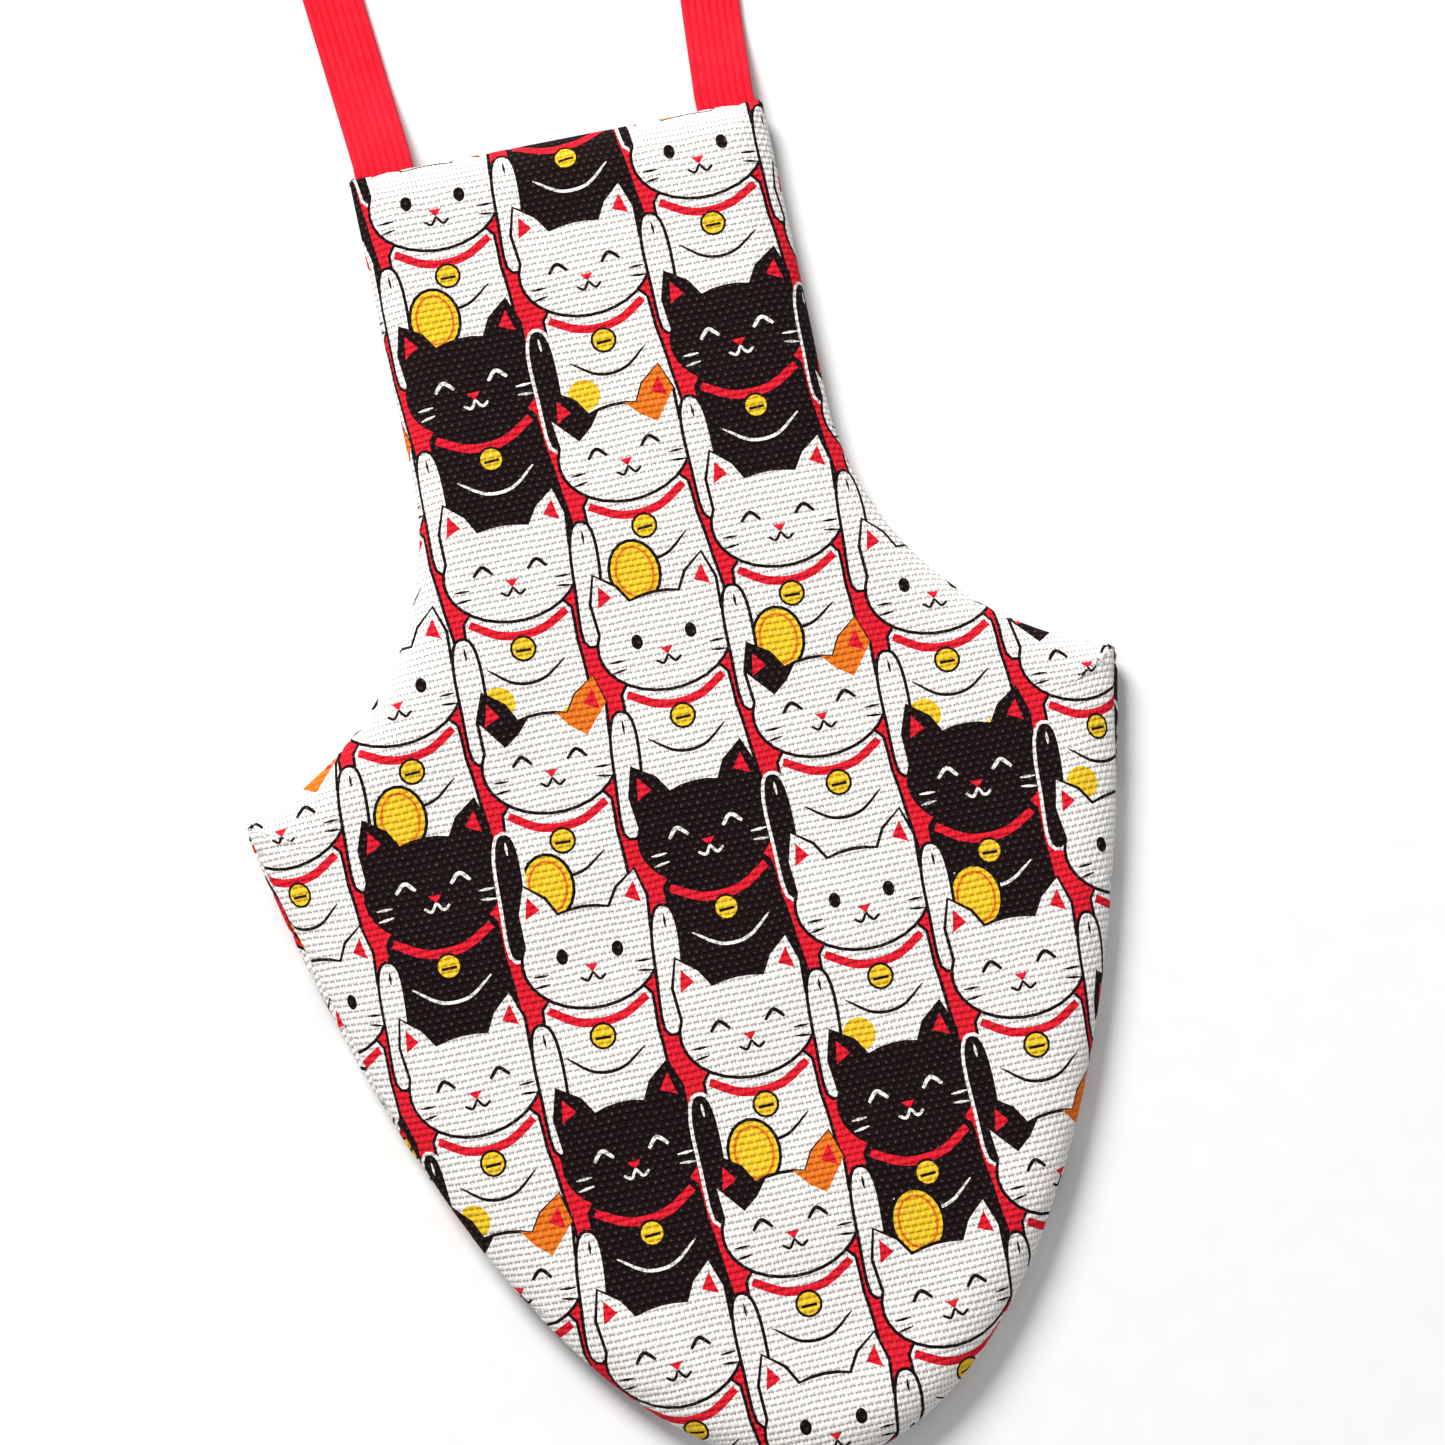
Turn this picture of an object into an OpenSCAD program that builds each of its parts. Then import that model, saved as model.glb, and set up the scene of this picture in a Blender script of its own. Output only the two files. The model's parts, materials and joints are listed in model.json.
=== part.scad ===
// Small padded bib: two printed canvas panels sewn together round a layer of wadding and turned
// right side out, with a neck loop of flat ribbed elastic sewn into the straight top edge.
// It lies on its back panel: X across, +Y towards the neck loop, +Z out of the front panel.

/* [Bib outline] */
// Length from the top edge to the rounded tip
bib_len = 139; // [133:1:145]
// Half of the width of the straight top edge
neck_half = 22; // [21:0.5:23]
// Half of the width across the two side points
side_half = 45.6; // [44.5:0.1:46.5]
// Length of the straight neck sides below the top edge
neck_len = 33; // [31:0.5:35]
// Radius of the hollow curve from each neck side out to its side point
hollow_r = 33; // [32:0.5:34]

/* [Thickness] */
// Thickness of the whole bib in the middle
bib_thick = 4.8; // [4.4:0.1:6]
// Height of the seam round the edge above the underside
seam_z = 2.1; // [1.9:0.1:2.3]
// Thickness of each canvas panel
canvas_t = 0.5; // [0.4:0.05:0.6]
// Distance from the edge over which the panels round down to the seam
edge_r = 5; // [4:0.5:6]

/* [Neck elastic] */
// Width of the flat elastic
elastic_w = 6.2; // [5:0.1:7]
// Thickness of the flat elastic
elastic_t = 0.9; // [0.7:0.05:1]
// Length of each elastic end inside the top seam
tail_len = 8; // [6:0.5:10]
// Height of the neck loop above the top edge
loop_h = 65; // [60:1:75]
// Outward slant of the two sides of the loop, in degrees
loop_slant = 5; // [3:0.5:6]

/* [Stitching] */
// Diameter of the sewing thread
thread_d = 0.4; // [0.3:0.05:0.5]
// Length of the turning gap that is closed by hand
gap_len = 30; // [20:1:40]

/* [Hidden] */

canvas_print = [0.93, 0.9, 0.87];
elastic_red = [0.95, 0.12, 0.22];
thread_white = [0.96, 0.95, 0.92];

top_y = (bib_len - loop_h) / 2;          // the top edge; the origin is midway from the tip to the loop's top
rim_t = 0.2;                             // thickness of a panel right at its edge
seam_gap = 0.05;                         // each panel stays this far from the seam's plane
layer_gap = 0.15;                        // room between the wadding and the canvas
wadding_inset = 1.6;                     // how far the wadding stops short of the edge
front_h = bib_thick - seam_z - seam_gap; // the front panel's rise over the seam
back_h = seam_z - seam_gap;              // the back panel's drop under the seam

// ---- outline of the right half, as [x, distance below the top edge], from the top to the tip ----
hollow_x = neck_half + hollow_r;
side_d = neck_len + sqrt(pow(hollow_r, 2) - pow(hollow_x - side_half + 0.4, 2));
top_flare = 0.3;                         // the neck is this much wider, each side, at the top edge
corner_drop = 1.2;                       // the side point is rounded over this length

function lerp(a, b, t) = a + (b - a) * t;
function cubic(a, b, c, d, t) =
    pow(1 - t, 3) * a + 3 * pow(1 - t, 2) * t * b + 3 * (1 - t) * t * t * c + pow(t, 3) * d;

neck_side = [for (d = [0, 0.25, 0.9, 2, 3.5, 6, 9, 16, 24])
    [neck_half + top_flare * (1 - d / neck_len), d]];
hollow = let (sweep = asin((side_d - neck_len) / hollow_r))
    [for (i = [0 : 12]) let (a = sweep * pow(i / 12, 0.8))
        [hollow_x - hollow_r * cos(a), neck_len + hollow_r * sin(a)]];
side_start = [side_half, side_d + corner_drop];
side_pull = [side_half - 14.6, bib_len - 5];
tip_pull = [6, bib_len];
lower_side = [for (i = [0 : 17]) cubic(side_start, side_pull, tip_pull, [0, bib_len], i / 17 * 0.92)];
half_outline = concat(neck_side, hollow, lower_side, [[1.2, bib_len]]);

// Distance from p to the segment a-b, and from p to the outline and the top edge
function seg_dist(p, a, b) =
    let (ab = b - a, t = max(0, min(1, (p - a) * ab / (ab * ab)))) norm(p - a - ab * t);
function edge_dist(p) =
    min(p[1], min([for (i = [0 : len(half_outline) - 2])
        seg_dist(p, half_outline[i], half_outline[i + 1])]));

// 0 at the edge, 1 where the panel is at its full height
function rise(d) = d >= edge_r ? 1 : sqrt(1 - pow(1 - d / edge_r, 2));

// ---- a cushion layer: a grid of columns over the outline, with an upper and a lower surface ----
columns = [0, 0.4, 0.7, 1.8, 4, 7.3, 12, 20]; // distances in from the edge, along X
column_last = len(columns) - 1;

function column_x(half, k) = half * (1 - columns[k] / columns[column_last] * min(1, 20 / half) * 0.995);
function row_points(row) = let (half = row[0])
    concat([for (k = [0 : column_last]) [-column_x(half, k), row[1]]],
           [for (k = [column_last : -1 : 0]) [column_x(half, k), row[1]]]);

// A surface is [side, height, rim, cut]: it stands off the seam's plane by
// seam_gap + rim + (height - rim) * rise - cut, upwards where side is 1 and downwards where it is -1.
// Over an elastic end it bulges, so that the end passes between the two panels.
function surface_z(spec, r, over_end) =
    seam_z + spec[0] * max(seam_gap + max(0, spec[2] + (spec[1] - spec[2]) * r - spec[3]),
                           over_end ? elastic_t / 2 + tail_fit + spec[2] : 0);

// shrink scales the layer about the middle of the bib; rows nearer the top edge than from_d are left out
module layer(upper, lower, shrink = [1, 1], from_d = 0) {
    rows = [for (row = half_outline) if (row[1] >= from_d) row_points(row)];
    across = len(rows[0]);
    flat = [for (row = rows) for (p = row) p];
    count = len(flat);
    risen = [for (p = flat) rise(edge_dist([abs(p[0]), p[1]]))];
    over = [for (p = flat) p[1] < tail_len + 2 && abs(abs(p[0]) - strap_x) < elastic_w / 2 + tail_margin];
    plan = [for (p = flat) [p[0] * shrink[0], top_y - bib_len / 2 - (p[1] - bib_len / 2) * shrink[1]]];
    points = [for (spec = [upper, lower]) for (i = [0 : count - 1])
        [plan[i][0], plan[i][1], surface_z(spec, risen[i], over[i])]];
    cells = [for (r = [0 : len(rows) - 2]) for (c = [0 : across - 2]) r * across + c];
    last = (len(rows) - 1) * across;
    faces = concat(
        [for (i = cells) for (f = [[i, i + 1, i + across], [i + 1, i + across + 1, i + across]]) f],
        [for (i = cells) for (f = [[i, i + across, i + 1], [i + 1, i + across, i + across + 1]])
            [for (v = f) v + count]],
        [for (c = [0 : across - 2]) for (f = wall(c + 1, c, count)) f],
        [for (c = [0 : across - 2]) for (f = wall(last + c, last + c + 1, count)) f],
        [for (r = [0 : len(rows) - 2]) for (f = wall(r * across, (r + 1) * across, count)) f],
        [for (r = [0 : len(rows) - 2])
            for (f = wall((r + 2) * across - 1, (r + 1) * across - 1, count)) f]);
    polyhedron(points, faces, convexity = 6);
}

function wall(a, b, count) = [[a, b, b + count], [a, b + count, a + count]];

// ---- tubes and tapes along a line ----
function side_of(a, b) = let (d = b - a) [-d[1], d[0], 0] / norm([d[0], d[1]]);

// Rings of points joined into a closed solid; every ring has the same number of points
module skin(rings) {
    n = len(rings[0]);
    m = len(rings);
    faces = concat(
        [[for (i = [n - 1 : -1 : 0]) i]],
        [for (r = [0 : m - 2]) for (i = [0 : n - 1]) let (j = (i + 1) % n)
            for (f = [[r * n + i, r * n + j, (r + 1) * n + j],
                      [r * n + i, (r + 1) * n + j, (r + 1) * n + i]])
            f],
        [[for (i = [0 : n - 1]) (m - 1) * n + i]]);
    polyhedron([for (ring = rings) for (p = ring) p], faces, convexity = 8);
}

// A thread along points that lie level
module thread(path) {
    last = len(path) - 1;
    skin([for (i = [0 : last])
        let (s = side_of(path[max(i - 1, 0)], path[min(i + 1, last)]))
        [for (a = [0 : 60 : 300]) path[i] + thread_d / 2 * (s * cos(a) + [0, 0, sin(a)])]]);
}

// The stitching line runs stitch_inset inside the edge, level with the seam
stitch_inset = 0.5;
inside_line = [for (i = [1 : len(half_outline) - 2])
    let (d = half_outline[i + 1] - half_outline[i - 1], p = half_outline[i],
         q = [p[0] - d[1] / norm(d) * stitch_inset, p[1] + d[0] / norm(d) * stitch_inset])
    if (q[1] > 0.6 && q[0] > 1.5 && edge_dist(q) > stitch_inset * 0.8) [q[0], top_y - q[1], seam_z]];
outside_line = [for (i = [len(inside_line) - 1 : -1 : 0])
    [-inside_line[i][0], inside_line[i][1], seam_z]];

gap_start = top_y - side_d - 18;         // the turning gap is on the right side, below the side point
gap_end = gap_start - gap_len;
above_gap = [for (p = inside_line) if (p[1] > gap_start) p];
below_gap = [for (p = inside_line) if (p[1] < gap_end) p];
in_gap = [for (p = inside_line) if (p[1] < gap_start && p[1] > gap_end) p];

// ---- the neck elastic ----
strap_x = neck_half + top_flare - 0.8 - elastic_w / 2; // middle of each end, just inside the top corner
tail_fit = 0.1;                          // room over and under each end between the panels
tail_margin = 0.3;                       // the bulge reaches this far past each side of an end
hinge_out = 1.5;                         // the elastic bends this far outside the top edge
hinge_y = top_y + hinge_out;
tail_end = 0.5;                          // the fixed end stops this far short of the bend
loop_start = 1.1;                        // the loop starts this far past the bend
// Two slanted straights run from the bends into a round turn, whose top is loop_h above the top edge.
// bow_up is the turn's centre above the bends, and bow_r its radius.
slant_s = sin(loop_slant);
slant_c = cos(loop_slant);
bow_up = (loop_h - hinge_out - elastic_t / 2 - strap_x * slant_c) / (1 + slant_s);
bow_r = strap_x * slant_c + bow_up * slant_s;
straight_len = bow_up * slant_c - strap_x * slant_s;
bow_len = bow_r * (180 + 2 * loop_slant) * PI / 180;
twist_from = 27;                         // the elastic starts to turn on edge here
twist_to = 45;                           // and stands on edge from here on
sink_len = 10;                           // it comes down to the table over this length

function smooth(t) = let (c = max(0, min(1, t))) c * c * (3 - 2 * c);
// Middle of the elastic at a length s from the right-hand bend, and its direction there
function loop_at(s) = s < straight_len
    ? [strap_x + s * slant_s, hinge_y + s * slant_c, 90 - loop_slant]
    : let (a = -loop_slant + (s - straight_len) / bow_r * 180 / PI)
      [bow_r * cos(a), hinge_y + bow_up + bow_r * sin(a), a + 90];
function twist_at(s) = 90 * smooth((s - twist_from) / (twist_to - twist_from));
function loop_z(s) = let (t = twist_at(s), resting = (elastic_w * sin(t) + elastic_t * cos(t)) / 2 + 0.05)
    lerp(seam_z, resting, smooth(s / sink_len));
// Cross-section of the tape, turned by its twist about its own length
function loop_ring(s, flip) =
    let (p = loop_at(s), a = p[2] - 90, twist = twist_at(s),
         wide = [cos(a) * cos(twist), sin(a) * cos(twist), sin(twist)],
         thick = [-cos(a) * sin(twist), -sin(a) * sin(twist), cos(twist)],
         middle = [p[0], p[1], loop_z(s)])
    [for (c = [[-1, -1], [1, -1], [1, 1], [-1, 1]])
        let (q = middle + c[0] * elastic_w / 2 * wide + c[1] * elastic_t / 2 * thick)
        flip ? [-q[0], q[1], q[2]] : q];
half_steps = 34;
half_loop = [for (i = [0 : half_steps])
    lerp(loop_start, straight_len + bow_len / 2, i / half_steps)];
loop_rings = concat([for (s = half_loop) loop_ring(s, false)],
                    [for (i = [half_steps - 1 : -1 : 0]) loop_ring(half_loop[i], true)]);

module tail(side) {
    color(elastic_red)
        translate([side * strap_x - elastic_w / 2, top_y - tail_len, seam_z - elastic_t / 2])
            cube([elastic_w, tail_len + hinge_out - tail_end, elastic_t]);
}

// Two rows of slanted stitches, one on each face of the elastic end
tack_y = top_y - 5;
tack_steps = 5;
module tack(side) {
    pitch = (elastic_w - 1.2) / tack_steps;
    color(thread_white)
        for (face = [-1, 1], i = [0 : tack_steps - 1])
            translate([side * strap_x + (i - (tack_steps - 1) / 2) * pitch, tack_y,
                       seam_z + face * (elastic_t / 2 + thread_d / 2)])
                rotate([0, 0, i % 2 == 0 ? 20 : -20])
                    cube([thread_d, 2.4, thread_d - 0.02], center = true);
}

module front_panel() {
    color(canvas_print)
        layer([1, front_h, rim_t, 0], [1, front_h, 0, canvas_t]);
}

module back_panel() {
    color(canvas_print)
        layer([-1, back_h, 0, canvas_t], [-1, back_h, rim_t, 0]);
}

module wadding() {
    color("white")
        layer([1, front_h - canvas_t - layer_gap, rim_t, 0], [-1, back_h - canvas_t - layer_gap, rim_t, 0],
              [1 - wadding_inset / neck_half, 1 - 2 * wadding_inset / bib_len], tail_len + 1);
}

// The lockstitched line, from the turning gap round the tip, up the left side, along the top edge
// and down the right side to the gap again; it breaks off where the elastic ends pass through
module perimeter_seam() {
    color(thread_white) {
        thread(above_gap);
        thread(concat(below_gap, outside_line));
        thread([for (x = [-1, 0, 1]) [x * (strap_x - elastic_w / 2 - 1), top_y - stitch_inset, seam_z]]);
    }
}

module closing_stitch() {
    color(thread_white)
        thread(in_gap);
}

module left_tail() { tail(-1); }
module right_tail() { tail(1); }
module left_tack() { tack(-1); }
module right_tack() { tack(1); }

module neck_elastic() {
    color(elastic_red)
        skin(loop_rings);
}

front_panel();
back_panel();
wadding();
perimeter_seam();
closing_stitch();
left_tail();
right_tail();
left_tack();
right_tack();
neck_elastic();
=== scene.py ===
"""A small padded bib in printed canvas, with a neck loop of flat ribbed elastic."""
import json
import math
import random

import bmesh
import bpy
import numpy as np
from mathutils import Matrix, Vector
from mathutils.geometry import delaunay_2d_cdt
from mathutils.bvhtree import BVHTree
from mathutils.kdtree import KDTree


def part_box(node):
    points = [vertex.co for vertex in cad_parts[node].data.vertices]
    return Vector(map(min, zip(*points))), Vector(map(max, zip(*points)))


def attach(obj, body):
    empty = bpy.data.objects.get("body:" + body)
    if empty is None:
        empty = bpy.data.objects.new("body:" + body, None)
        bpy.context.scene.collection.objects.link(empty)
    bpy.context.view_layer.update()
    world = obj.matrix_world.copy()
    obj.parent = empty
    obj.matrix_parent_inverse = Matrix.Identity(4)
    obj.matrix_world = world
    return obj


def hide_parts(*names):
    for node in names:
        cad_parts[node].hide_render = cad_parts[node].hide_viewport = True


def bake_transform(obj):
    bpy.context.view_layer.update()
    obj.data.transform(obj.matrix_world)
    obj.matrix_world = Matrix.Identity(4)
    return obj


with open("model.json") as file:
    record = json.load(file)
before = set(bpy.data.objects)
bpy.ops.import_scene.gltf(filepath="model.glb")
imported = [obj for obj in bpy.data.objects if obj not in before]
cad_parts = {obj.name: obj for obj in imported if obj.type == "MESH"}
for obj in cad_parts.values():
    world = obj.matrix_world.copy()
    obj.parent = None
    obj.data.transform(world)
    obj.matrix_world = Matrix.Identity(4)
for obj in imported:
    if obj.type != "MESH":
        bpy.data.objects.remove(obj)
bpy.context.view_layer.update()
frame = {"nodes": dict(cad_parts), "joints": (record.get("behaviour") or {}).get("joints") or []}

MM = 0.001

# ---------------------------------------------------------------- sizes, in millimetres
front_lo, front_hi = (np.array(c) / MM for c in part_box("front_panel"))
loop_hi = np.array(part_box("neck_elastic")[1]) / MM
tail_lo, tail_hi = (np.array(c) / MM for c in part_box("right_tail"))
HINGE = next(j for j in frame["joints"] if j["name"] == "loop_fold")["pos_m"]
HINGE_Y = HINGE[1] / MM
SEAM_Z = HINGE[2] / MM      # height of the seam, and of the elastic where it comes out
TOP_Y = front_hi[1]
BIB_LEN = TOP_Y - front_lo[1]
SIDE_HALF = front_hi[0]
BIB_THICK = front_hi[2]
NECK_HALF = 22.0            # half of the neck's width
TOP_FLARE = 0.3             # extra half-width at the top edge
NECK_LEN = 33.0             # length of the straight neck sides
HOLLOW_R = 33.0             # radius of the hollow curves under the neck
EDGE_R = 5.0                # distance over which the panels round down to the seam
ELASTIC_W = tail_hi[0] - tail_lo[0]
ELASTIC_T = tail_hi[2] - tail_lo[2]
STRAP_X = (tail_lo[0] + tail_hi[0]) / 2
TAIL_LEN = TOP_Y - tail_lo[1]
CANVAS_FLOAT = 0.02         # the underside stays this far above the table
CUT_STEP = 0.8              # distance between the points of an outline
ON_LINE = 1e-3              # points nearer to an outline than this are on it


# ---------------------------------------------------------------- camera, light and floor
CAMERA_SPOT = (-11.2, -60.1, 266.7)     # in millimetres, like the target
CAMERA_TARGET = (4.0, -27.5, 4.0)
CAMERA_LEAN = math.radians(12.2)        # how far the bib leans to the left in the picture
CAMERA_LENS = 64.8
CAMERA_SENSOR = 36
WORLD_LIGHT = 0.42


def link(name, data):
    """A new object in the scene."""
    obj = bpy.data.objects.new(name, data)
    bpy.context.scene.collection.objects.link(obj)
    return obj


def set_camera():
    """Looks down at the bib from a little below its tip, with the bib leaning to the left."""
    spot = Vector(CAMERA_SPOT) * MM
    target = Vector(CAMERA_TARGET) * MM
    data = bpy.data.cameras.new("camera")
    data.sensor_width = CAMERA_SENSOR
    data.lens = CAMERA_LENS
    data.clip_start = 0.01
    cam = link("camera", data)
    ahead = (target - spot).normalized()
    up = Vector((math.sin(CAMERA_LEAN), math.cos(CAMERA_LEAN), 0))
    right = ahead.cross(up).normalized()
    up = right.cross(ahead)
    cam.matrix_world = Matrix.Translation(spot) @ Matrix((right, up, -ahead)).transposed().to_4x4()
    bpy.context.scene.camera = cam


def area_light(name, place, size, power, color=(1, 1, 1)):
    """A round lamp that faces the middle of the bib."""
    data = bpy.data.lights.new(name, "AREA")
    data.shape = "DISK"
    data.size = size
    data.energy = power
    data.color = color
    lamp = link(name, data)
    lamp.location = place
    lamp.rotation_mode = "QUATERNION"
    lamp.rotation_quaternion = (-Vector(place)).to_track_quat("-Z", "Y")


def set_light():
    """White surroundings, a strong window beyond the loop and a weak fill."""
    world = bpy.data.worlds.new("studio")
    world.use_nodes = True
    background = world.node_tree.nodes["Background"]
    background.inputs["Color"].default_value = (1, 1, 1, 1)
    background.inputs["Strength"].default_value = WORLD_LIGHT
    bpy.context.scene.world = world
    area_light("window", (-0.34, 0.93, 0.72), 0.50, 23.5, (1.0, 0.99, 0.97))
    area_light("fill", (0.45, -0.25, 0.6), 0.6, 0.15)
    bpy.context.scene.view_settings.view_transform = "Standard"


# ---------------------------------------------------------------- outline
def smooth_step(x):
    """0 below 0, 1 above 1, and a smooth rise between."""
    x = np.clip(x, 0, 1)
    return x * x * (3 - 2 * x)


def cubic(a, b, c, d, t):
    """A point of a cubic Bezier curve."""
    return (1 - t) ** 3 * a + 3 * (1 - t) ** 2 * t * b + 3 * (1 - t) * t * t * c + t ** 3 * d


def half_outline():
    """The right half of the finished outline, from the top corner to the tip."""
    corner = 0.35                       # the top corner is cut off by this much
    blunt_in, blunt_down = 0.4, 1.2     # and the side point is cut off by this much
    side_curve = 95                     # rough length of the curve from the side point to the tip
    hollow_x = NECK_HALF + HOLLOW_R
    side_d = NECK_LEN + math.sqrt(HOLLOW_R ** 2 - (hollow_x - SIDE_HALF + blunt_in) ** 2)
    sweep = math.asin((side_d - NECK_LEN) / HOLLOW_R)
    pts = [(NECK_HALF + TOP_FLARE * (1 - d / NECK_LEN), d) for d in np.arange(corner, NECK_LEN, CUT_STEP)]
    for a in np.linspace(0, sweep, int(HOLLOW_R * sweep / CUT_STEP)):
        pts.append((hollow_x - HOLLOW_R * math.cos(a), NECK_LEN + HOLLOW_R * math.sin(a)))
    a, b = (SIDE_HALF, side_d + blunt_down), (SIDE_HALF - 14.6, BIB_LEN - 5)
    c, d = (6, BIB_LEN), (0, BIB_LEN)
    for t in np.linspace(0, 1, int(side_curve / CUT_STEP)):
        pts.append((cubic(a[0], b[0], c[0], d[0], t), cubic(a[1], b[1], c[1], d[1], t)))
    return [(x, TOP_Y - y) for x, y in pts]


def full_outline():
    """The whole finished outline, counter-clockwise, as an array."""
    right = half_outline()
    left = [(-x, y) for x, y in right[:-1]]
    across = np.arange(-NECK_HALF, NECK_HALF + 0.1, CUT_STEP)
    top = [(x, TOP_Y) for x in across]
    return np.array(left + right[::-1] + top[::-1])


def offset(points, distance):
    """A closed outline moved outwards by a distance, for counter-clockwise points."""
    ahead = np.roll(points, -1, axis=0) - np.roll(points, 1, axis=0)
    ahead /= np.linalg.norm(ahead, axis=1)[:, None]
    return points + distance * np.stack([ahead[:, 1], -ahead[:, 0]], axis=1)


def inside(points, outline):
    """Which of the points lie inside a closed outline."""
    a, b = outline, np.roll(outline, -1, axis=0)
    odd = np.zeros(len(points), bool)
    for (ax, ay), (bx, by) in zip(a, b):
        if ay == by:
            continue
        crosses = (ay > points[:, 1]) != (by > points[:, 1])
        odd ^= crosses & (points[:, 0] < (bx - ax) * (points[:, 1] - ay) / (by - ay) + ax)
    return odd


def to_outline(points, outline):
    """How far inside a closed outline each point is, below 0 outside it, and the unit vector inwards."""
    a = outline
    b = np.roll(outline, -1, axis=0)
    ab = b - a
    best = np.full(len(points), np.inf)
    away = np.zeros((len(points), 2))
    squared = (ab ** 2).sum(1)
    for i in range(len(a)):
        t = np.clip(((points - a[i]) @ ab[i]) / squared[i], 0, 1)
        gap = points - a[i] - t[:, None] * ab[i]
        d = np.hypot(gap[:, 0], gap[:, 1])
        closer = d < best
        best[closer] = d[closer]
        away[closer] = gap[closer]
    inward = np.stack([-ab[:, 1], ab[:, 0]], axis=1)
    inward /= np.linalg.norm(inward, axis=1)[:, None]
    on_line = best < ON_LINE
    away[~on_line] /= best[~on_line][:, None]
    if on_line.any():
        tree = KDTree(len(a))
        for i, p in enumerate((a + b) / 2):
            tree.insert((p[0], p[1], 0), i)
        tree.balance()
        for i in np.flatnonzero(on_line):
            away[i] = inward[tree.find((points[i][0], points[i][1], 0))[1]]
    outer = ~on_line & ~inside(points, outline)
    best[outer] *= -1
    away[outer] *= -1
    return best, away


# ---------------------------------------------------------------- the print, drawn as flat shapes
WHITE, BLACK, RED, YELLOW, ORANGE = range(5)
LINE = 0.34                 # width of the drawn lines


def signed_area(points):
    """Twice a closed shape's area, above 0 when its points run counter-clockwise."""
    return sum(a[0] * b[1] - b[0] * a[1] for a, b in zip(points, points[1:] + points[:1]))


class Drawing:
    """A list of closed shapes, each over the ones before it."""

    def __init__(self):
        self.shapes = []
        self.place = lambda p: p

    def at(self, x, y, turn):
        """Moves the pen's origin, for the shapes that follow."""
        c, s = math.cos(turn), math.sin(turn)
        self.place = lambda p: (x + c * p[0] - s * p[1], y + s * p[0] + c * p[1])

    def fill(self, points, ink):
        placed = [self.place(p) for p in points]
        self.shapes.append((placed if signed_area(placed) > 0 else placed[::-1], ink))

    def outlined(self, points, ink, line=BLACK, width=LINE):
        """A filled shape with a line round it, half inside and half outside."""
        ring = np.array(points)
        side = 1 if signed_area(points) > 0 else -1
        self.fill([tuple(p) for p in offset(ring, side * width / 2)], line)
        self.fill([tuple(p) for p in offset(ring, -side * width / 2)], ink)

    def stroke(self, points, ink=BLACK, width=LINE, taper=0.35):
        """A line through the points, thinner towards its ends."""
        line = np.array(smooth_line(points, 5 if len(points) > 2 else 2))
        n = len(line)
        ahead = np.gradient(line, axis=0)
        ahead /= np.linalg.norm(ahead, axis=1)[:, None]
        side = np.stack([-ahead[:, 1], ahead[:, 0]], axis=1)
        t = np.linspace(0, 1, n)
        half = width / 2 * (taper + (1 - taper) * np.sin(math.pi * t) ** 0.5)
        edge = half[:, None] * side
        self.fill([tuple(p) for p in np.concatenate([line - edge, (line + edge)[::-1]])], ink)


def between(a, b, c, d, t):
    """A point of the Catmull-Rom curve from b to c, which a and d lead in and out of."""
    return tuple(0.5 * (2 * b + (c - a) * t + (2 * a - 5 * b + 4 * c - d) * t * t
                        + (3 * b - a - 3 * c + d) * t ** 3))


def smooth_line(points, steps):
    """A Catmull-Rom curve through the points."""
    p = [np.array(q, float) for q in points]
    if len(p) < 3:
        return [tuple(p[0] + (p[-1] - p[0]) * t) for t in np.linspace(0, 1, steps + 1)]
    p = [2 * p[0] - p[1]] + p + [2 * p[-1] - p[-2]]
    out = []
    for a, b, c, d in zip(p, p[1:], p[2:], p[3:]):
        out += [between(a, b, c, d, k / steps) for k in range(steps)]
    out.append(tuple(p[-2]))
    return out


def smooth_ring(points, steps=3):
    """A closed Catmull-Rom curve through the points."""
    p = [np.array(q, float) for q in points]
    n = len(p)
    out = []
    for i in range(n):
        a, b, c, d = p[i - 1], p[i], p[(i + 1) % n], p[(i + 2) % n]
        out += [between(a, b, c, d, k / steps) for k in range(steps)]
    return out


def oval(x, y, rx, ry, n=16):
    turns = [2 * math.pi * i / n for i in range(n)]
    return [(x + rx * math.cos(a), y + ry * math.sin(a)) for a in turns]


def arc(rx, ry, start, end, n):
    return [(rx * math.cos(a), ry * math.sin(a)) for a in np.radians(np.linspace(start, end, n))]


FACE = (6.9, 5.1)           # half width and half height of a face
EAR_TIP = (5.7, 8.1)


def head_shape():
    """A wide round face with two pointed ears."""
    left_ear = [(-3.6, 6.5), (-EAR_TIP[0], EAR_TIP[1]), (-6.6, 5.2)]
    right_ear = [(6.6, 5.2), EAR_TIP, (3.6, 6.5)]
    crown = arc(*FACE, 68, 112, 5)
    jaw = arc(*FACE, 158, 382, 20)
    return crown + left_ear + jaw + right_ear


def draw_body(d, fur, line, spotted):
    """A plain upright body with a curved chest, and two round yellow spots on some."""
    side = [(4.6, -3.4), (5.6, -8), (6.0, -13), (6.1, -19), (3.0, -23)]
    d.outlined(smooth_ring(side + [(-x, y) for x, y in reversed(side)]), fur)
    d.stroke([(-4.0, -9.6), (-1.4, -11.4), (1.4, -11.4), (4.0, -9.6)], line)
    if spotted:
        d.fill(oval(-3.4, -13.2, 1.7, 1.7), YELLOW)
        d.fill(oval(3.7, -16.0, 1.4, 1.4), YELLOW)


def draw_collar(d):
    """A collar with a round bell."""
    d.stroke([(-5.0, -4.7), (-2.4, -6.2), (0, -6.6), (2.4, -6.2), (5.0, -4.7)], RED, 0.9, 0.9)
    d.outlined(oval(0, -8.0, 1.25, 1.25, 14), YELLOW, BLACK, 0.26)
    d.stroke([(-0.8, -8.2), (0.8, -8.2)], BLACK, 0.3, 1)


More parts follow.
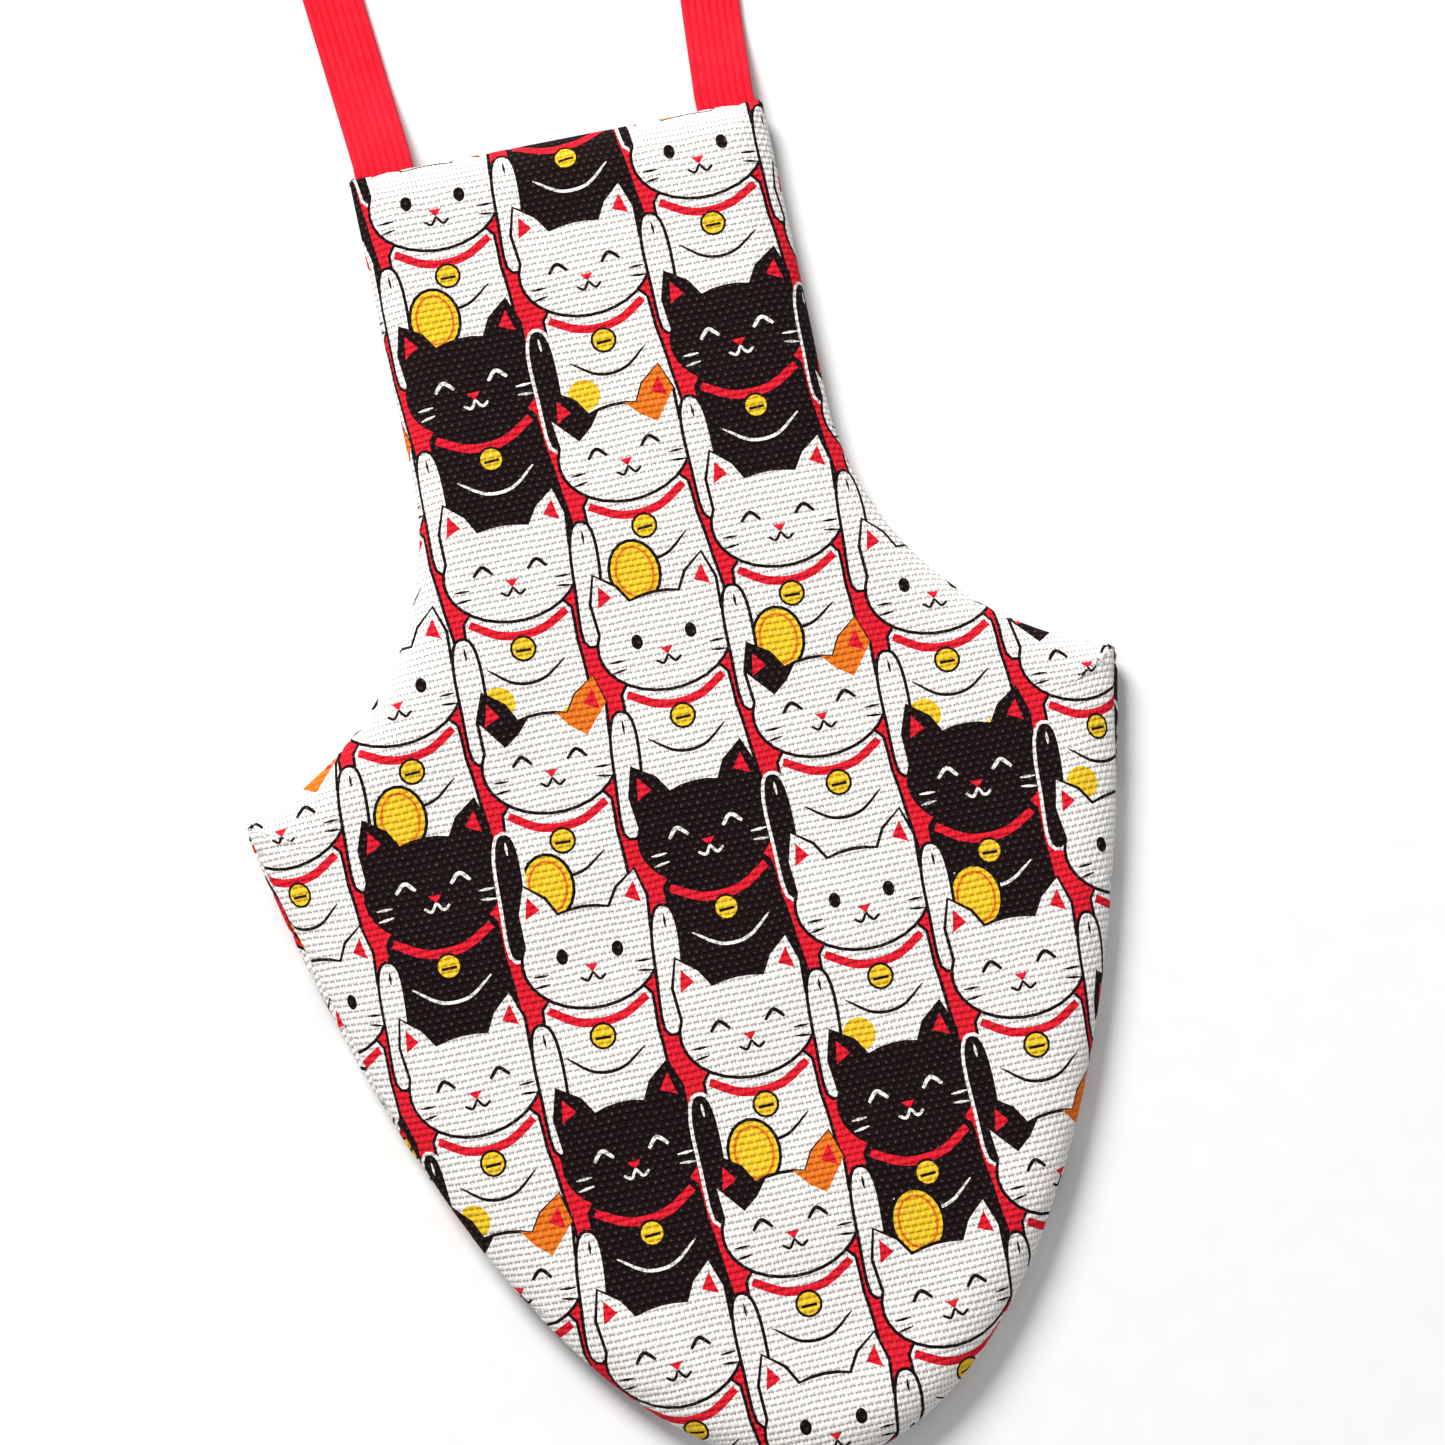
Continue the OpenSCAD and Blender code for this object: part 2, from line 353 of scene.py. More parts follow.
def draw_face(d, awake, line):
    """Dots or smiling arcs for eyes, a three-cornered nose, a small mouth and straight whiskers."""
    for side in (-1, 1):
        if awake:
            d.fill(oval(side * 2.8, 0.4, 0.6, 0.8, 12), line)
        else:
            d.stroke([(side * 1.8, 0.1), (side * 2.8, 1.0), (side * 3.8, 0.1)], line, 0.4, 0.7)
        for k in range(2):
            d.stroke([(side * 4.4, -1.2 - 0.9 * k), (side * 6.0, -1.2 - 1.1 * k)], line, 0.3)
        d.stroke([(0, -1.5), (side * 0.6, -2.3), (side * 1.3, -1.9)], line, 0.3, 0.7)
    d.fill([(-0.7, -0.7), (0, -1.5), (0.7, -0.7)], RED)


def draw_raised_paw(d, fur, line):
    """One foreleg held up beside the cheek, drawn as a rounded bar."""
    foreleg = [(6.2, -8.4), (7.9, -8.6), (8.8, -4), (9.1, 1),
               (8.6, 3.6), (7.2, 3.8), (6.4, 1.4), (6.2, -3.4)]
    d.outlined(smooth_ring(foreleg), fur, line)
    d.stroke([(7.9, 1.7), (7.9, 3.0)], line, 0.3)


def draw_coin(d):
    """A plain oval coin with a rim and nothing on it."""
    d.outlined(oval(-2.2, -12.4, 2.6, 3.3, 20), YELLOW)
    d.outlined(oval(-2.2, -12.4, 1.9, 2.6, 18), YELLOW, ORANGE, 0.26)


def draw_cat(d, kind, extra):
    """One cat, drawn from the back forwards."""
    fur, line = (BLACK, WHITE) if kind == "black" else (WHITE, BLACK)
    draw_body(d, fur, line, spotted=extra == "spots" and kind != "black")
    if extra == "coin":
        draw_coin(d)
    d.outlined(head_shape(), fur)
    if kind == "calico":
        ear = [p for p in head_shape() if p[0] < -1.2 and p[1] > 2.4] + [(-4.2, 2.2), (-2.6, 3.4)]
        d.fill(ear, BLACK)
        d.fill([(-x, y) for x, y in ear], ORANGE)
    for side in (-1, 1):
        d.fill([(side * 4.3, 5.4), (side * 5.4, 6.9), (side * 5.9, 4.6)], RED)
    draw_face(d, kind == "awake", line)
    draw_collar(d)
    draw_raised_paw(d, fur, line)


COLUMN = 14.0               # distance between columns of cats
ROW = 20.0                  # distance between cats in a column
COLUMNS = range(-4, 5)
ROWS = range(-7, 4)
TURN = 0.06                 # each cat leans by up to this much either way
KINDS = ("smiling", "black", "awake", "calico")
EXTRAS = ("coin", "spots", "none")


def draw_print(seed, shift):
    """Cats in an ordinary half-drop repeat on red, each in front of the one above it."""
    rng = random.Random(seed)
    d = Drawing()
    cats = []
    for i in COLUMNS:
        for j in ROWS:
            x = i * COLUMN + shift[0]
            y = (j + 0.5 * (i % 2)) * ROW + shift[1]
            kind = KINDS[(2 * i + j + seed) % len(KINDS)]
            cats.append((y, x, kind, EXTRAS[(i + j) % len(EXTRAS)], rng.uniform(-TURN, TURN)))
    for y, x, kind, extra, turn in sorted(cats, reverse=True):
        d.at(x, y, turn)
        draw_cat(d, kind, extra)
    return d.shapes


# ---------------------------------------------------------------- canvas panels
FRONT_H = BIB_THICK - SEAM_Z            # the front panel's rise over the seam's plane
BACK_H = SEAM_Z - CANVAS_FLOAT          # the back panel's drop under it
SEAM_DIP = 0.25                         # the seam draws the canvas in by this much
DIP_REACH = 0.7                         # over this length of cloth
EXIT_ROOM = 0.25                        # the canvas clears each face of the sewn-in elastic by this
EXIT_FADE = 0.4                         # and closes up again this far beyond its edges
ROLL_REACH = 9.0                        # a rolled seam shifts the canvas as far in as this
# Places where the seam rolls off the rim: side, distance below the top edge, half length and amount
# along the rim. It rolls up on to the front where the amount is above 0, and under where it is below.
ROLLS = ((-1, 84, 17, 1.3), (1, 70, 7, 1.0), (1, 17, 12, -0.7))
END_FADE = 1.5                          # how far below the sewn-in ends the canvas settles again
SWELL, SWELL_SIZE, SWELL_FADE = 0.22, 24, 9     # height and width of the front's gentle unevenness
SETTLE_FADE = 1.5                       # the simulated drape fades out this close to the seam


def rim_profile():
    """The rounded rim from back to front: length along it from the widest point, distance in and height."""
    turn = np.radians(np.linspace(0, 90, 31))
    along, inward, rise = [], [], []
    for side, height in ((-1, BACK_H), (1, FRONT_H)):
        d, z = EDGE_R * (1 - np.cos(turn)), height * np.sin(turn)
        length = np.concatenate([[0], np.cumsum(np.hypot(np.diff(d), np.diff(z)))])
        along.append(side * length), inward.append(d), rise.append(side * z)
    return [np.concatenate([part[0][:0:-1], part[1]]) for part in (along, inward, rise)]


def ripple(points, size, seed):
    """Smooth noise from -1 to 1 over flat points."""
    rng = np.random.default_rng(seed)
    total = np.zeros(len(points))
    for k in range(9):
        a = rng.uniform(0, 2 * math.pi)
        f = rng.uniform(0.6, 1.5) * 2 * math.pi / size
        total += np.sin(f * (points[:, 0] * math.cos(a) + points[:, 1] * math.sin(a)) + rng.uniform(0, 6.3))
    return total / 5


def spline(f):
    """Weights of the four grid values around a fraction between the middle two."""
    return ((1 - f) ** 3 / 6, (3 * f ** 3 - 6 * f ** 2 + 4) / 6,
            (-3 * f ** 3 + 3 * f ** 2 + 3 * f + 1) / 6, f ** 3 / 6)


class Field:
    """A smooth field of offsets over the flat cloth, from values at the corners of flat triangles."""

    def __init__(self, flat, tris, values, spacing=1.0):
        margin = 4
        self.low, self.spacing = flat.min(0) - margin, spacing
        nx, ny = (int(n) for n in np.ceil((flat.max(0) + margin - self.low) / spacing) + 1)
        tree = BVHTree.FromPolygons([(x, y, 0) for x, y in flat], tris.tolist())
        self.grid = np.zeros((nx, ny, values.shape[1]))
        for i in range(nx):
            for j in range(ny):
                p = self.low + spacing * np.array([i, j])
                found, _, face, far = tree.find_nearest((p[0], p[1], 0))
                if far > 0.01:              # off the cloth
                    continue
                a, b, c = flat[tris[face]]
                u, v = np.linalg.solve(np.array([b - a, c - a]).T, np.array(found[:2]) - a)
                at_a, at_b, at_c = values[tris[face]]
                self.grid[i, j] = (1 - u - v) * at_a + u * at_b + v * at_c

    def __call__(self, points):
        """The offsets at any flat points."""
        at = (points - self.low) / self.spacing
        cell = np.clip(np.floor(at).astype(int), 1, np.array(self.grid.shape[:2]) - 3)
        f = at - cell
        total = 0
        for i, wx in enumerate(spline(f[:, 0])):
            for j, wy in enumerate(spline(f[:, 1])):
                total = total + (wx * wy)[:, None] * self.grid[cell[:, 0] + i - 1, cell[:, 1] + j - 1]
        return total


class Drape:
    """Takes flat points of a cut panel to where the canvas lies on the finished bib."""

    def __init__(self, side, seed):
        self.side, self.seed = side, seed
        self.along, self.inward, self.rise = rim_profile()
        self.reach = self.along[-1] if side > 0 else -self.along[0]
        self.ease = self.reach - EDGE_R
        self.cut = offset(full_outline(), self.ease)
        self.settled = None

    def roll(self, flat):
        """How far along the rim the seam has rolled beside each point."""
        total = np.zeros(len(flat))
        for side, below, half, amount in ROLLS:
            near = np.exp(-((flat[:, 1] - TOP_Y + below) / half) ** 2)
            total += amount * near * (flat[:, 0] * side > 0)
        return total

    def __call__(self, flat):
        # Round the rim: each point's cloth length from the seam gives its distance in and its height.
        s, away = to_outline(flat, self.cut)
        on_rim = self.side * s + self.roll(flat) * (1 - smooth_step(s / ROLL_REACH))
        deep = self.side * on_rim >= self.reach
        d = np.where(deep, self.side * on_rim - self.ease, np.interp(on_rim, self.along, self.inward))
        d = d + SEAM_DIP * (1 - smooth_step(s / DIP_REACH))
        height = np.interp(on_rim, self.along, self.rise)
        plan = flat + away * (d - (s - self.ease))[:, None]
        # Over the elastic: the two panels part round its sewn-in ends.
        from_end = np.abs(np.abs(plan[:, 0]) - STRAP_X) - ELASTIC_W / 2
        over_end = smooth_step(1 - from_end / EXIT_FADE)
        over_end *= smooth_step((plan[:, 1] - (TOP_Y - TAIL_LEN - END_FADE)) / END_FADE)
        lift = np.maximum(ELASTIC_T / 2 + EXIT_ROOM - self.side * height, 0)
        height = height + self.side * over_end * lift
        if self.side > 0:
            height = height + SWELL * ripple(plan, SWELL_SIZE, self.seed) * smooth_step(d / SWELL_FADE)
        placed = np.column_stack([plan, SEAM_Z + height])
        if self.settled is not None:
            placed += self.settled(flat) * smooth_step(s / SETTLE_FADE)[:, None]
            placed[:, 2] = np.maximum(placed[:, 2], CANVAS_FLOAT)
        return placed


SCALE = 20                  # the cloth is simulated twenty times larger, where the solver is steady
FRAMES = 36
SPARE = 0.7                 # how much wider the cloth is cut than the space it fills
SPARE_REACH = 12            # and the width over which that is spread
CLOTH_STEP = 2.1
CLOTH_RINGS = (0.7, 1.5, 2.4, 3.4, 4.5, 5.8)    # rows of points this far inside the seam


def lattice(outline, spacing):
    """A square grid of points over an outline's box, as rows of columns."""
    lo, hi = outline.min(0), outline.max(0)
    return np.stack(np.meshgrid(np.arange(lo[0], hi[0], spacing), np.arange(lo[1], hi[1], spacing)), -1)


def cloth_mesh(cut):
    """Flat points and triangles of a cut panel, even enough to simulate. The outline's points come first."""
    grid = lattice(cut, CLOTH_STEP)
    grid[::2, :, 0] += CLOTH_STEP / 2
    grid = grid.reshape(-1, 2)
    grid = grid[inside(grid, cut)]
    grid = grid[to_outline(grid, cut)[0] > CLOTH_RINGS[-1] + CLOTH_STEP * 0.6]
    rings = [(r, offset(cut, -r)) for r in CLOTH_RINGS]
    rings = [ring[to_outline(ring, cut)[0] > r * 0.93] for r, ring in rings]
    points = [Vector(p) for p in np.vstack([cut] + rings + [grid])]
    result = delaunay_2d_cdt(points, [], [list(range(len(cut)))], 1, 1e-5)
    return np.array([(v.x, v.y) for v in result[0]]), np.array(result[2])


def square(name, half):
    """A level square at the table's height."""
    mesh = bpy.data.meshes.new(name)
    corners = [(-half, -half, 0), (half, -half, 0), (half, half, 0), (-half, half, 0)]
    mesh.from_pydata(corners, [], [(0, 1, 2, 3)])
    return mesh


class Cushion:
    """The two cut panels sewn round their edge and filled, simulated as one closed cloth."""

    def __init__(self, drapes):
        self.parts, verts, rest, self.faces = [], [], [], []
        for drape in drapes:
            cut = drape.cut[::2]
            flat, tris = cloth_mesh(cut)
            start = len(verts)
            s, away = to_outline(flat, cut)
            placed = drape(flat)
            ids = start + np.arange(len(flat))
            if start:                       # sewn to the first panel, point to point round the edge
                ids -= len(cut)
                ids[:len(cut)] = np.arange(len(cut))
            fresh = ids >= start
            looser = placed.copy()
            looser[:, :2] -= away * (SPARE * (1 - smooth_step(s / SPARE_REACH)))[:, None]
            verts += placed[fresh].tolist()
            rest += looser[fresh].tolist()
            sewn = ids[tris]
            self.faces += (sewn if drape.side > 0 else sewn[:, ::-1]).tolist()
            self.parts.append((flat, tris, ids, placed))
        self.verts, self.rest = np.array(verts), np.array(rest)
        self.pins = list(range(len(cut)))

    def simulate(self):
        """Lets the cloth settle on the table with its seam held, and returns where its points end up."""
        mesh = bpy.data.meshes.new("cushion")
        mesh.from_pydata((self.verts * MM * SCALE).tolist(), [], self.faces)
        obj = link("cushion", mesh)
        obj.shape_key_add(name="Basis")
        key = obj.shape_key_add(name="cut")
        key.data.foreach_set("co", (self.rest * MM * SCALE).ravel())
        key.value = 0
        obj.vertex_groups.new(name="held").add(self.pins, 1.0, "REPLACE")
        cloth = obj.modifiers.new("cloth", "CLOTH")
        c = cloth.settings
        c.quality = 9
        c.mass = 0.25
        c.air_damping = 3
        c.tension_stiffness = c.compression_stiffness = 28
        c.shear_stiffness = 14
        c.bending_stiffness = 0.9
        c.tension_damping = c.compression_damping = c.shear_damping = 12
        c.bending_damping = 2
        c.rest_shape_key = key
        c.vertex_group_mass = "held"
        c.pin_stiffness = 3
        c.use_pressure = True
        c.uniform_pressure_force = 1.0
        c.use_internal_springs = True           # the wadding, which holds the two panels apart
        c.internal_spring_max_diversion = math.radians(30)
        c.internal_tension_stiffness = c.internal_compression_stiffness = 9
        cloth.collision_settings.use_collision = True
        cloth.collision_settings.distance_min = 0.0015
        cloth.collision_settings.collision_quality = 3
        under = link("rest", square("rest", 4))
        under.modifiers.new("collision", "COLLISION")
        under.collision.thickness_outer = 0.001
        scene = bpy.context.scene
        cloth.point_cache.frame_start, cloth.point_cache.frame_end = 1, FRAMES
        first = scene.frame_current
        for f in range(1, FRAMES + 1):
            scene.frame_set(f)
        shaped = obj.evaluated_get(bpy.context.evaluated_depsgraph_get())
        co = np.zeros(len(self.verts) * 3)
        shaped.data.vertices.foreach_get("co", co)
        scene.frame_set(first)
        for o in (obj, under):
            data = o.data
            bpy.data.objects.remove(o)
            bpy.data.meshes.remove(data)
        return co.reshape(-1, 3) / MM / SCALE


ART_STEP = 1.6                                          # size of the canvas's triangles in the middle
ART_RINGS = (0.25, 0.6, 1.0, 1.6, 2.3, 3.1, 4.0, 5.0)   # rows of points this far inside the cut edge
ART_MIDDLE = 5.5                                        # the grid starts this far inside it
ART_SHIFT = 0.013                                       # keeps the grid off the drawing's own points


def cut_art(shapes, outline):
    """Triangles of the drawing inside the cut outline, with each one's ink."""
    keep = [(points, ink) for points, ink in shapes if inside(np.array(points), outline).any()]
    grid = lattice(outline, ART_STEP).reshape(-1, 2) + ART_SHIFT
    grid = grid[inside(grid, offset(outline, -ART_MIDDLE))]
    rings = [(r, offset(outline, -r)) for r in ART_RINGS]
    rings = [ring[inside(ring, offset(outline, -r * 0.8))] for r, ring in rings]
    verts = [Vector(p) for p in outline]
    faces = [list(range(len(outline)))]
    for points, _ in keep:
        faces.append(list(range(len(verts), len(verts) + len(points))))
        verts += [Vector(p) for p in points]
    for extra in rings + [grid]:
        verts += [Vector(p) for p in extra]
    out, _, tris, _, _, origin = delaunay_2d_cdt(verts, [], faces, 1, 1e-5)
    flat = np.array([(v.x, v.y) for v in out])
    kept, inks = [], []
    for tri, ids in zip(tris, origin):
        if 0 in ids:
            top = max(ids)
            kept.append(tri)
            inks.append(keep[top - 1][1] if top else RED)
    return flat, np.array(kept), inks


def vertex_normals(place, tris):
    """Each point's normal, from the triangles round it weighted by their areas."""
    a, b, c = (place[tris[:, k]] for k in range(3))
    facing = np.cross(b - a, c - a)
    normal = np.zeros_like(place)
    for k in range(3):
        np.add.at(normal, tris[:, k], facing)
    return normal / np.maximum(np.linalg.norm(normal, axis=1), 1e-12)[:, None]


def panel(name, drape, shapes, inks):
    """A printed canvas panel, draped over the bib."""
    flat, tris, ink = cut_art(shapes, drape.cut)
    used = np.unique(tris)
    remap = np.full(len(flat), -1)
    remap[used] = np.arange(len(used))
    flat = flat[used]
    tris = remap[tris]
    place = drape(flat)
    if drape.side < 0:
        tris = tris[:, ::-1]
    mesh = bpy.data.meshes.new(name)
    mesh.from_pydata((place * MM).tolist(), [], tris.tolist())
    for material in inks:
        mesh.materials.append(material)
    mesh.polygons.foreach_set("material_index", ink)
    uv = mesh.uv_layers.new(name="cloth")
    corner = np.zeros(len(mesh.loops), int)
    mesh.loops.foreach_get("vertex_index", corner)
    uv.data.foreach_set("uv", (flat[corner] * UV_SCALE).ravel())
    mesh.polygons.foreach_set("use_smooth", [True] * len(mesh.polygons))
    mesh.update()
    mesh.normals_split_custom_set_from_vertices(vertex_normals(place, tris).tolist())
    return link(name, mesh)


# ---------------------------------------------------------------- materials
class Nodes:
    """Short names for the nodes of one material."""

    def __init__(self, name):
        self.material = bpy.data.materials.new(name)
        self.material.use_nodes = True
        self.tree = self.material.node_tree
        self.shader = self.tree.nodes["Principled BSDF"]

    def put(self, socket, value):
        if isinstance(value, bpy.types.NodeSocket):
            self.tree.links.new(value, socket)
        elif hasattr(value, "__len__") and len(value) == 3 and socket.type == "RGBA":
            socket.default_value = (*value, 1)
        else:
            socket.default_value = value

    def math(self, operation, a, b=0.0, c=0.0, clamp=False):
        n = self.tree.nodes.new("ShaderNodeMath")
        n.operation = operation
        n.use_clamp = clamp
        for socket, value in zip(n.inputs, (a, b, c)):
            self.put(socket, value)
        return n.outputs[0]

    def mix(self, factor, a, b, blend="MIX"):
        n = self.tree.nodes.new("ShaderNodeMix")
        n.data_type = "RGBA"
        n.blend_type = blend
        self.put(n.inputs[0], factor)
        self.put(n.inputs[6], a)
        self.put(n.inputs[7], b)
        return n.outputs[2]

    def ramp(self, value, low, high, to_low=0.0, to_high=1.0):
        n = self.tree.nodes.new("ShaderNodeMapRange")
        n.interpolation_type = "SMOOTHSTEP"
        for socket, v in zip(n.inputs, (value, low, high, to_low, to_high)):
            self.put(socket, v)
        return n.outputs[0]

    def uv(self, name):
        n = self.tree.nodes.new("ShaderNodeUVMap")
        n.uv_map = name
        split = self.tree.nodes.new("ShaderNodeSeparateXYZ")
        self.tree.links.new(n.outputs[0], split.inputs[0])
        scale = 1 / UV_SCALE
        x = self.math("MULTIPLY", split.outputs[0], scale)
        y = self.math("MULTIPLY", split.outputs[1], scale)
        return x, y

    def join(self, x, y, z=0.0):
        n = self.tree.nodes.new("ShaderNodeCombineXYZ")
        for socket, v in zip(n.inputs, (x, y, z)):
            self.put(socket, v)
        return n.outputs[0]

    def noise(self, vector, scale, detail=2.0, rough=0.5):
        n = self.tree.nodes.new("ShaderNodeTexNoise")
        self.put(n.inputs["Vector"], vector)
        self.put(n.inputs["Scale"], scale)
        self.put(n.inputs["Detail"], detail)
        self.put(n.inputs["Roughness"], rough)
        return n.outputs[0]

    def bump(self, height, distance, strength=1.0):
        n = self.tree.nodes.new("ShaderNodeBump")
        self.put(n.inputs["Height"], height)
        self.put(n.inputs["Distance"], distance)
        self.put(n.inputs["Strength"], strength)
        self.tree.links.new(n.outputs[0], self.shader.inputs["Normal"])

    def finish(self, color, roughness, sheen=0.0):
        self.put(self.shader.inputs["Base Color"], color)
        self.put(self.shader.inputs["Roughness"], roughness)
        self.shader.inputs["Sheen Weight"].default_value = sheen
        self.shader.inputs["Sheen Roughness"].default_value = 0.6
        self.shader.inputs["Specular IOR Level"].default_value = 0.12
        return self.material


UV_SCALE = 0.005            # one millimetre of cloth, in its UV map
WARP = 0.404                # distance between the upright threads
WEFT = 0.668                # distance between the level threads


def canvas(name, ink, gap, gap_shade_share, fleck, fleck_share):
    """Printed canvas: plain weave with slubby threads, painted shade in the small gaps between them and
    along the edges of the level threads, and paler flecks on top.
    """
    n = Nodes(name)
    x, y = n.uv("cloth")
    drift = n.noise(n.join(x, y), 0.16, 2.0)
    x = n.math("ADD", x, n.math("MULTIPLY", n.math("SUBTRACT", drift, 0.5), 0.6))
    y = n.math("ADD", y, n.math("MULTIPLY", n.math("SUBTRACT", n.noise(n.join(y, x), 0.13, 2.0), 0.5), 0.6))
    slub = n.noise(n.join(n.math("MULTIPLY", x, 0.30), n.math("MULTIPLY", y, 1.9)), 1.0, 2.0)
    y = n.math("ADD", y, n.math("MULTIPLY", n.math("SUBTRACT", slub, 0.5), 0.20))
    across = n.math("MULTIPLY", x, math.pi / WARP)
    along = n.math("MULTIPLY", y, math.pi / WEFT)
    warp = n.math("ABSOLUTE", n.math("SINE", across))       # 1 in the middle of an upright thread
    weft = n.math("ABSOLUTE", n.math("SINE", along))        # 1 in the middle of a level thread
    over = n.math("MULTIPLY", n.math("SINE", across), n.math("SINE", along))
    fuzz = n.noise(n.join(n.math("MULTIPLY", x, 1.6), n.math("MULTIPLY", y, 5.0)), 1.5, 3.0, 0.7)
    height = n.math("ADD", n.math("MULTIPLY", weft, 0.8), n.math("MULTIPLY", over, 0.45))
    height = n.math("ADD", height, n.math("MULTIPLY", fuzz, 0.45))
    # where the threads part, which gets the painted shade of the gaps
    hole_shade_mask = n.math("MULTIPLY", n.ramp(weft, 0.85, 0.45), n.ramp(warp, 0.62, 0.22))
    hole_shade_mask = n.math("MULTIPLY", hole_shade_mask, n.ramp(fuzz, 0.30, 0.55, 0.45, 1.0))
    tone = n.noise(n.join(x, y), 0.7, 3.0, 0.6)
    shade = n.ramp(tone, 0.3, 0.7, 0.92, 1.0)
    # painted shade: each level thread darker towards its edges, where it dips between its neighbours
    shade = n.math("MULTIPLY", shade, n.ramp(weft, 0.0, 0.75, 0.86, 1.0))
    color = n.mix(1.0, ink, n.join(shade, shade, shade), "MULTIPLY")
    top = n.math("MULTIPLY", n.ramp(height, 1.05, 1.4), fleck_share)
    color = n.mix(n.math("MULTIPLY", top, n.ramp(fuzz, 0.38, 0.62)), color, fleck)
    # painted shade: the gaps between the threads darkened towards the gap colour
    color = n.mix(n.math("MULTIPLY", hole_shade_mask, gap_shade_share, clamp=True), color, gap)
    n.bump(height, 0.00016, 0.7)
    return n.finish(color, 0.9)


# Each ink in the order of WHITE, BLACK, RED, YELLOW and ORANGE: its name and colour, the colour and strength
# of the painted shade in the gaps between its threads, and the colour and strength of the flecks on top of
# them.
INKS = (("canvas_white", (0.91, 0.885, 0.86), (0.16, 0.12, 0.11), 0.80, (0.93, 0.91, 0.89), 0.5),
        ("canvas_black", (0.0085, 0.0022, 0.0028), (0.001, 0.001, 0.001), 0.5, (0.14, 0.10, 0.10), 0.5),
        ("canvas_red", (0.74, 0.010, 0.026), (0.10, 0.003, 0.006), 0.55, (0.85, 0.10, 0.12), 0.3),
        ("canvas_yellow", (0.88, 0.56, 0.022), (0.38, 0.14, 0.01), 0.6, (0.9, 0.7, 0.25), 0.4),
        ("canvas_orange", (0.80, 0.17, 0.012), (0.30, 0.05, 0.01), 0.6, (0.9, 0.45, 0.15), 0.3))


def stage():
    """A plain pale table top."""
    n = Nodes("paper")
    grain = n.noise(n.join(*n.uv("floor")), 0.5, 4.0)
    shade = n.ramp(grain, 0.3, 0.7, 0.82, 0.84)
    n.finish(n.join(shade, shade, shade), 0.75)
    mesh = square("table", 1.2)
    uv = mesh.uv_layers.new(name="floor")
    uv.data.foreach_set("uv", [0, 0, 6, 0, 6, 6, 0, 6])
    mesh.materials.append(n.material)
    link("table", mesh)


# ---------------------------------------------------------------- neck elastic
LOOP_SLANT = math.radians(5)            # the loop's sides spread by this much
TWIST_FROM, TWIST_TO = 27.0, 45.0       # the strap turns on to its edge between these lengths
SINK_LEN = 10.0                         # length over which it comes down to the table
RIBS = 8
STRAP_STEP = 0.8
HINGE_OUT = HINGE_Y - TOP_Y
LOOP_H = loop_hi[1] - TOP_Y
# The far end is half a circle of radius BOW_R, whose middle is BOW_UP beyond the hinge line.
BOW_UP = (LOOP_H - HINGE_OUT - ELASTIC_T / 2 - STRAP_X * math.cos(LOOP_SLANT)) / (1 + math.sin(LOOP_SLANT))
BOW_R = STRAP_X * math.cos(LOOP_SLANT) + BOW_UP * math.sin(LOOP_SLANT)
STRAIGHT = BOW_UP * math.cos(LOOP_SLANT) - STRAP_X * math.sin(LOOP_SLANT)
HALF_LOOP = STRAIGHT + BOW_R * (math.pi / 2 + LOOP_SLANT)


def strap_frame(s):
    """Middle, across and thickness directions of the elastic at a length s from the right-hand bend."""
    if s < 0:
        middle, a = (STRAP_X, HINGE_Y + s), 0.0
    elif s < STRAIGHT:
        middle, a = (STRAP_X + s * math.sin(LOOP_SLANT), HINGE_Y + s * math.cos(LOOP_SLANT)), -LOOP_SLANT
    else:
        a = -LOOP_SLANT + (s - STRAIGHT) / BOW_R
        middle = (BOW_R * math.cos(a), HINGE_Y + BOW_UP + BOW_R * math.sin(a))
    twist = math.pi / 2 * smooth_step((s - TWIST_FROM) / (TWIST_TO - TWIST_FROM))
    resting = (ELASTIC_W * math.sin(twist) + ELASTIC_T * math.cos(twist)) / 2 + 0.05
    z = SEAM_Z + (resting - SEAM_Z) * smooth_step(s / SINK_LEN)
    wide = np.array([math.cos(a) * math.cos(twist), math.sin(a) * math.cos(twist), math.sin(twist)])
    thick = np.array([-math.cos(a) * math.sin(twist), -math.sin(a) * math.sin(twist), math.cos(twist)])
    return np.array([middle[0], middle[1], z]), wide, thick


def strap_section():
    """A ribbed cross-section as (across, thickness) from -1 to 1, once round."""
    face = []
    steps = 6
    for k in range(RIBS):
        for j in range(steps):
            f = j / steps
            face.append((-1 + 2 * (k + f) / RIBS, 0.55 + 0.45 * math.sqrt(max(0, 1 - (2 * f - 1) ** 2))))
    face.append((1, 0.55))
    return face + [(x, -y) for x, y in reversed(face)]


